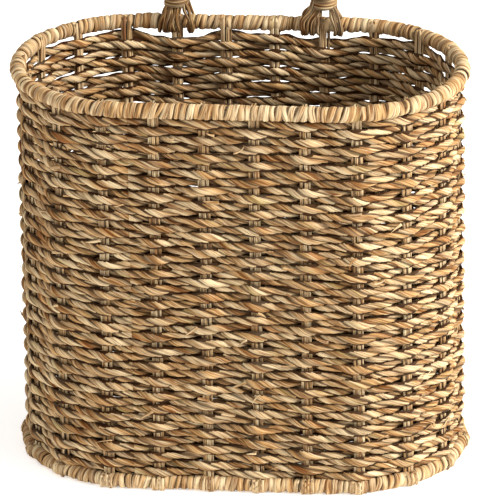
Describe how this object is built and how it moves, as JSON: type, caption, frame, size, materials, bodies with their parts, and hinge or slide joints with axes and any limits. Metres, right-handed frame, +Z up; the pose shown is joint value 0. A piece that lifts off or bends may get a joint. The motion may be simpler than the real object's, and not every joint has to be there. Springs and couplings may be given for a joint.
{
  "type": "woven storage basket",
  "caption": "Straight-sided oval storage basket of plain-woven seagrass cord on a wire frame, with a bound rim and a rope hanging loop at the back.",
  "frame": {"origin": "middle of the basket's footprint, on the surface it stands on", "axes": "+Z up, +X along the basket's length to the right, +Y towards the back, where the hanging loop is"},
  "size_m": [0.3, 0.1737, 0.4078],
  "materials": {
    "seagrass_cord": "matte twisted grass cord",
    "seagrass_stake": "matte flat grass strands",
    "seagrass_binding": "matte flat grass strips",
    "seagrass_rope": "matte twisted grass rope",
    "frame_wire": "dark lacquered steel wire"
  },
  "bodies": {
    "basket": {"rim_wire": "frame_wire", "base_ring_wire": "frame_wire", "upright_wires": "frame_wire", "base_wires": "frame_wire", "rim_wrap": "seagrass_binding", "base_ring_wrap": "seagrass_binding", "front_stakes": "seagrass_stake", "back_stakes": "seagrass_stake", "left_end_stakes": "seagrass_stake", "right_end_stakes": "seagrass_stake", "base_stakes": "seagrass_stake", "base_weave": "seagrass_cord", "weaver_01": "seagrass_cord", "weaver_02": "seagrass_cord", "weaver_03": "seagrass_cord", "weaver_04": "seagrass_cord", "weaver_05": "seagrass_cord", "weaver_06": "seagrass_cord", "weaver_07": "seagrass_cord", "weaver_08": "seagrass_cord", "weaver_09": "seagrass_cord", "weaver_10": "seagrass_cord", "weaver_11": "seagrass_cord", "weaver_12": "seagrass_cord", "weaver_13": "seagrass_cord", "weaver_14": "seagrass_cord", "weaver_15": "seagrass_cord", "weaver_16": "seagrass_cord", "weaver_17": "seagrass_cord", "weaver_18": "seagrass_cord", "weaver_19": "seagrass_cord", "weaver_20": "seagrass_cord", "weaver_21": "seagrass_cord", "weaver_22": "seagrass_cord", "weaver_23": "seagrass_cord"},
    "hanger": {"left_rim_loop": "seagrass_rope", "right_rim_loop": "seagrass_rope", "left_knot": "seagrass_rope", "right_knot": "seagrass_rope", "hanger_rope": "seagrass_rope"}
  },
  "joints": [
    {"name": "hanger_swing", "type": "hinge", "parent": "basket", "child": "hanger", "pos_m": [0, 0.07975, 0.26675], "axis": [1, 0, 0], "range_deg": [-120, 105]}
  ]
}
